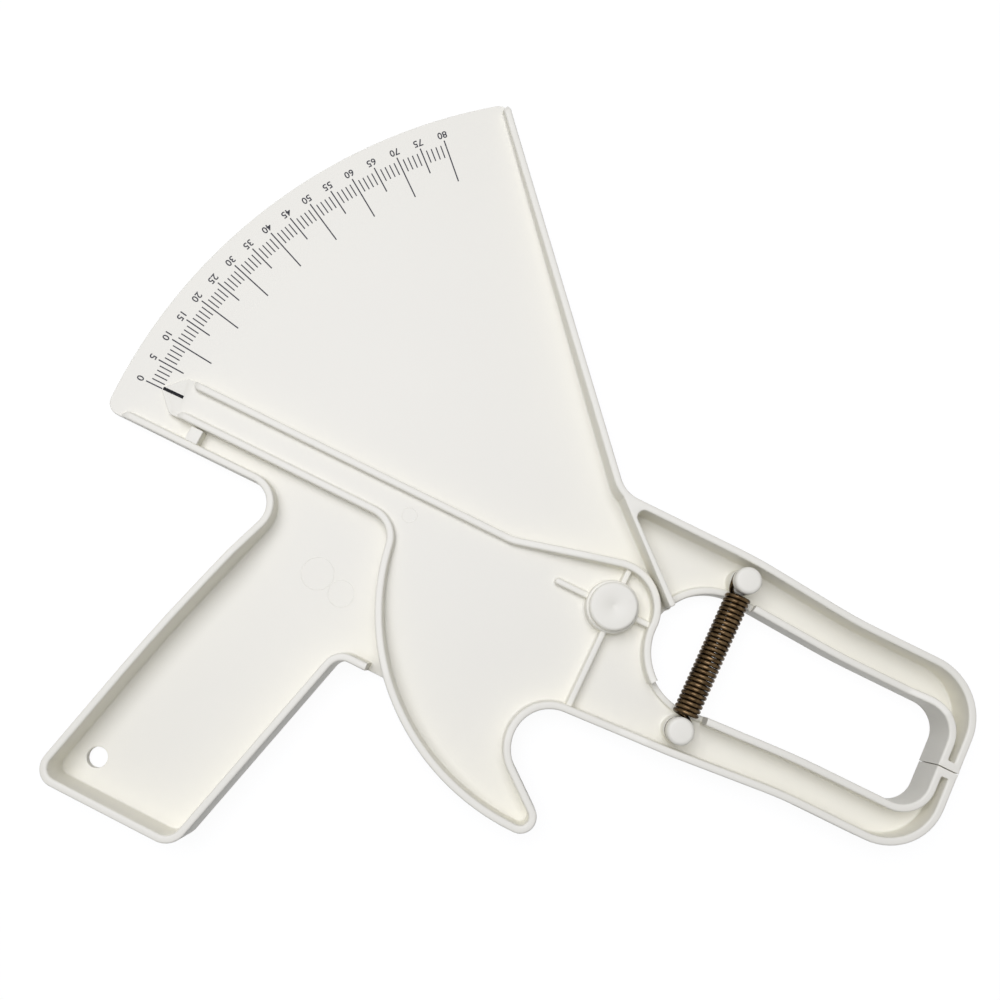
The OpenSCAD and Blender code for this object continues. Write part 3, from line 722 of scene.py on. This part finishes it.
hub_ribs = [pad(stadium(a, b, RIB_W), LEVER_TOP, top, foot=0.6, edge=0.5) for a, b, top in HUB_RIBS]
lever_mark = ejector_mark(-64.6, -1.6, 2.2, LEVER_TOP)
lever = piece("moulded_lever", [lever_plate, boss, *hub_ribs, post(-1, LEVER_TOP), lever_mark],
              off_white, "lever")
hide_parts("trigger_lever")

# ---------------------------------------------------------------------------------------------
# Pivot cap. A round cap of the same plastic, pressed into the frame's stud; it lies over the
# middle of the hub's boss, and a small dimple marks where the plastic ran in.
CAP_R, CAP_TOP, CAP_ROLL, DIMPLE_R, DIMPLE_DEEP = 6.9, 12.6, 0.9, 0.7, 0.12


def rolled_edge(radius, top, roll):
    """Section of a quarter-round edge of radius roll, from its upright side to its flat top."""
    bow = np.radians(np.linspace(0, 90, 9))
    return np.c_[radius - roll + roll * np.cos(bow), top - roll + roll * np.sin(bow)]


cap = lathe([(0, STUD_TOP), (CAP_R - 0.2, STUD_TOP), (CAP_R, STUD_TOP + 0.2),
             *rolled_edge(CAP_R, CAP_TOP, CAP_ROLL), (DIMPLE_R + 0.2, CAP_TOP), (DIMPLE_R, CAP_TOP - 0.08),
             (DIMPLE_R - 0.2, CAP_TOP - DIMPLE_DEEP), (0, CAP_TOP - DIMPLE_DEEP)], (0, 0), 96)
pivot_cap = piece("cap_over_pivot", [cap], off_white, "frame")
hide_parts("pivot_cap")

# ---------------------------------------------------------------------------------------------
# Spring pins. Two headed pins of the same plastic, pressed into the posts; the spring's hooks
# lie round their necks.
PIN_HEAD_R, PIN_HEAD_LOW, PIN_TOP, PIN_ROLL, PIN_NECK_R = 3.9, 11.4, 15.0, 1.2, 2.4
pin_section = [(0, POST_TOP - 0.2), (PIN_NECK_R, POST_TOP - 0.2), (PIN_NECK_R, PIN_HEAD_LOW),
               (PIN_HEAD_R - 0.2, PIN_HEAD_LOW), (PIN_HEAD_R, PIN_HEAD_LOW + 0.2),
               *rolled_edge(PIN_HEAD_R, PIN_TOP, PIN_ROLL), (0, PIN_TOP)]
for name, node, side, body in (("headed_pin_fixed", "fixed_spring_pin", 1, "frame"),
                               ("headed_pin_moving", "moving_spring_pin", -1, "lever")):
    pin = piece(name, [lathe(pin_section, (POST_X, side * POST_Y))], off_white, body)
    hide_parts(node)

# ---------------------------------------------------------------------------------------------
# Tension spring. Bronze-coloured spring wire wound closely, with its last coil at each end bent
# up into a hook round a pin's neck.
WIRE_D, COIL_R, HALF_COILS, COIL_HALF, SPRING_Z = 1.32, 3.05, 13, 18.5, 10.2
HOOK_SWEEP, HOOK_R, BEND_REACH = 235.0, 3.15, 2.4
COIL_STEPS, HOOK_STEPS, BEND_STEPS, WIRE_SIDES = 40, 48, 20, 14
side_turns = HALF_COILS + 0.5
pitch = COIL_HALF / side_turns


def coil_points(turn):
    """The helix: a circle of COIL_R about the spring's length that climbs by pitch in a turn."""
    angle = 2 * np.pi * turn
    return np.c_[-COIL_R * np.sin(angle), pitch * turn, COIL_R * np.cos(angle)]


def half_spring():
    """From the middle coil to the end of the hook: helix, then the cubic curve that leaves the
    last coil along the wire and meets the hook along its own side, then the hook's arc."""
    coils = coil_points(np.linspace(0, side_turns, int(side_turns * COIL_STEPS) + 1))
    u = np.linspace(0, 1, BEND_STEPS + 1)[1:-1, None]
    start, leave = coils[-1], unit(np.array([2 * np.pi * COIL_R, pitch, 0]))
    stop, arrive = np.array([HOOK_R, POST_Y, 0]), np.array([0, 1, 0])
    bend = ((1 - u) ** 3 * start + 3 * u * (1 - u) ** 2 * (start + BEND_REACH * leave)
            + 3 * u * u * (1 - u) * (stop - BEND_REACH * arrive) + u ** 3 * stop)
    around = arc((0, POST_Y), HOOK_R, 0, HOOK_SWEEP, HOOK_STEPS)
    end = np.radians(HOOK_SWEEP)
    tail = around[-1] + WIRE_D * np.array([-np.sin(end), np.cos(end)])
    flat = np.concatenate([around, [tail]])
    return np.concatenate([coils, bend, np.c_[flat, np.zeros(len(flat))]])


def tube(line, diameter, sides):
    """A round wire along a line: each ring stands square to it, its first direction carried
    forward without twist by taking away the part that lies along the line."""
    forward = unit(np.gradient(line, axis=0))
    across = np.empty_like(line)
    side = np.array([0.3, 0.2, 1.0])
    for i, ahead in enumerate(forward):
        side = unit(side - (side @ ahead) * ahead)
        across[i] = side
    over = np.cross(forward, across)
    angle = 2 * np.pi * np.arange(sides) / sides
    rings = (line[:, None] + diameter / 2 * (np.cos(angle)[:, None] * across[:, None]
                                             + np.sin(angle)[:, None] * over[:, None]))
    points = rings.reshape(-1, 3)
    faces = ring_faces(len(line), sides)
    last = len(points) - sides
    return points, faces + [list(range(sides))[::-1], list(range(last, last + sides))]


half = half_spring()
wire_line = np.concatenate([(half * [-1, -1, 1])[:0:-1], half])
wire = wire_line * [-1, 1, 1] + [POST_X, 0, SPRING_Z]


def spring_wire():
    """Dark bronze-coloured metal: one fine noise moves its colour between two browns and, with
    it, its gloss."""
    material = bpy.data.materials.new("bronze_wire")
    material.use_nodes = True
    nodes, links = material.node_tree.nodes, material.node_tree.links
    shader = nodes["Principled BSDF"]
    place = nodes.new("ShaderNodeTexCoord")
    patches = nodes.new("ShaderNodeTexNoise")
    patches.inputs["Scale"].default_value = 600.0
    patches.inputs["Detail"].default_value = 5.0
    links.new(place.outputs["Object"], patches.inputs["Vector"])
    tint = nodes.new("ShaderNodeValToRGB")
    tint.color_ramp.elements[0].position = 0.3
    tint.color_ramp.elements[0].color = (0.04, 0.024, 0.011, 1)
    tint.color_ramp.elements[1].position = 0.75
    tint.color_ramp.elements[1].color = (0.15, 0.1, 0.052, 1)
    gloss = nodes.new("ShaderNodeMapRange")
    gloss.inputs["To Min"].default_value = 0.22
    gloss.inputs["To Max"].default_value = 0.36
    links.new(patches.outputs["Fac"], tint.inputs["Fac"])
    links.new(patches.outputs["Fac"], gloss.inputs["Value"])
    links.new(tint.outputs["Color"], shader.inputs["Base Color"])
    links.new(gloss.outputs["Result"], shader.inputs["Roughness"])
    shader.inputs["Metallic"].default_value = 1.0
    return material


spring = piece("wound_spring", [tube(wire, WIRE_D, WIRE_SIDES)], spring_wire(), None)
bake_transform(spring)
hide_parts("tension_spring")

# ---------------------------------------------------------------------------------------------
# Dial marks. Dark ink printed on the fan: a line for each millimetre, longer ones at 5 and 10,
# and a number at every fifth, upright to a reader on the side of the fan's edge.
DIAL_MAX = 80
LINE_OUT, FINE_OUT, LINE_IN = 154.2, 152.9, {1: 148.6, 5: 145.4, 10: 139.9}
LINE_W, FINE_W, INK_T = 0.4, 0.36, 0.03
NUMBER_H, NUMBER_R = 2.3, 156.1
JAW_CHORD_R = 104.3


def dial_angle(reading):
    """Where the pointer stands when the jaws are that far open: the reading is the chord that
    the jaws' reach makes, so the lever has turned by twice the arcsine of reading / (2 reach)."""
    return 180 - 2 * np.degrees(np.arcsin(np.asarray(reading) / (2 * JAW_CHORD_R)))


def printed_line(start, stop, width, low):
    """A thin flat bar of ink from start to stop."""
    start, stop = np.asarray(start, float), np.asarray(stop, float)
    side = unit(stop - start)[::-1] * [-1, 1] * width / 2
    base = np.array([start - side, stop - side, stop + side, start + side])
    points = np.concatenate([np.c_[base, np.full(4, z)] for z in (low, low + INK_T)])
    faces = [[3, 2, 1, 0], [4, 5, 6, 7], [0, 1, 5, 4], [1, 2, 6, 5], [2, 3, 7, 6], [3, 0, 4, 7]]
    return points, faces


def ink(name, colour, roughness):
    """Printing ink: nearly black, with a fine uneven cover that shows in its shade and gloss."""
    material = bpy.data.materials.new(name)
    material.use_nodes = True
    nodes, links = material.node_tree.nodes, material.node_tree.links
    shader = nodes["Principled BSDF"]
    effect = nodes.new("ShaderNodeGroup")
    effect.node_tree = moulded_surface
    effect.inputs["Clouds per m"].default_value = 2500.0
    effect.inputs["Roughness"].default_value = roughness
    tint = nodes.new("ShaderNodeMix")
    tint.data_type = "RGBA"
    tint.inputs["A"].default_value = (*colour, 1)
    tint.inputs["B"].default_value = (*[min(1.0, c * 1.5) for c in colour], 1)
    links.new(effect.outputs["Shade"], tint.inputs["Factor"])
    links.new(tint.outputs["Result"], shader.inputs["Base Color"])
    links.new(effect.outputs["Gloss"], shader.inputs["Roughness"])
    shader.inputs["Specular IOR Level"].default_value = 0.15
    return material


def polar(radius, angle):
    """Point at that distance and direction from the pivot."""
    return radius * np.array([np.cos(np.radians(angle)), np.sin(np.radians(angle))])


dial_ink = ink("dial_ink", (0.05, 0.05, 0.055), 0.6)
dial_lines = []
for reading in range(DIAL_MAX + 1):
    kind = 10 if reading % 10 == 0 and reading else 5 if reading % 5 == 0 else 1
    angle = dial_angle(reading)
    outer = FINE_OUT if kind == 1 else LINE_OUT
    width = FINE_W if kind == 1 else LINE_W
    dial_lines.append(printed_line(polar(outer, angle), polar(LINE_IN[kind], angle), width, PLATE_T))
piece("dial_lines", dial_lines, dial_ink, "frame")


def printed_number(text, centre, turn):
    """A number as thin flat ink: the built-in letter shapes, scaled to NUMBER_H, centred and
    turned into place."""
    curve = bpy.data.curves.new("number", "FONT")
    curve.body = text
    curve.extrude = 0.5
    curve.resolution_u = 3
    curve.offset = 0.016
    letters = bpy.data.objects.new("number", curve)
    scene.collection.objects.link(letters)
    bpy.context.view_layer.update()
    mesh = letters.evaluated_get(bpy.context.evaluated_depsgraph_get()).to_mesh()
    points = np.empty(len(mesh.vertices) * 3)
    mesh.vertices.foreach_get("co", points)
    points = points.reshape(-1, 3)
    faces = [list(polygon.vertices) for polygon in mesh.polygons]
    bpy.data.objects.remove(letters)
    bpy.data.curves.remove(curve)
    low, high = points.min(0), points.max(0)
    points = (points - (low + high) / 2) * (NUMBER_H / (high[1] - low[1]))
    angle = np.radians(turn)
    x = points[:, 0] * np.cos(angle) - points[:, 1] * np.sin(angle) + centre[0]
    y = points[:, 0] * np.sin(angle) + points[:, 1] * np.cos(angle) + centre[1]
    z = np.where(points[:, 2] > 0, PLATE_T + INK_T, PLATE_T)
    return np.c_[x, y, z], faces


numbers = [printed_number(str(n), polar(NUMBER_R, dial_angle(n)), dial_angle(n) + 90)
           for n in range(0, DIAL_MAX + 1, 5)]
piece("dial_numbers", numbers, dial_ink, "frame")

# ---------------------------------------------------------------------------------------------
# Index line. A thick black bar printed along the pointer's tip, whose end points at the dial.
INDEX_START, INDEX_STOP, INDEX_W, INDEX_Y = -148.0, -140.9, 0.95, 0.2
index_points, index_faces = printed_line((INDEX_START, INDEX_Y), (INDEX_STOP, INDEX_Y), INDEX_W, 0)
index_points[:, 2] += lever_top(index_points)
piece("index_line", [(index_points, index_faces)], ink("index_ink", (0.005, 0.005, 0.006), 0.6),
      "lever")
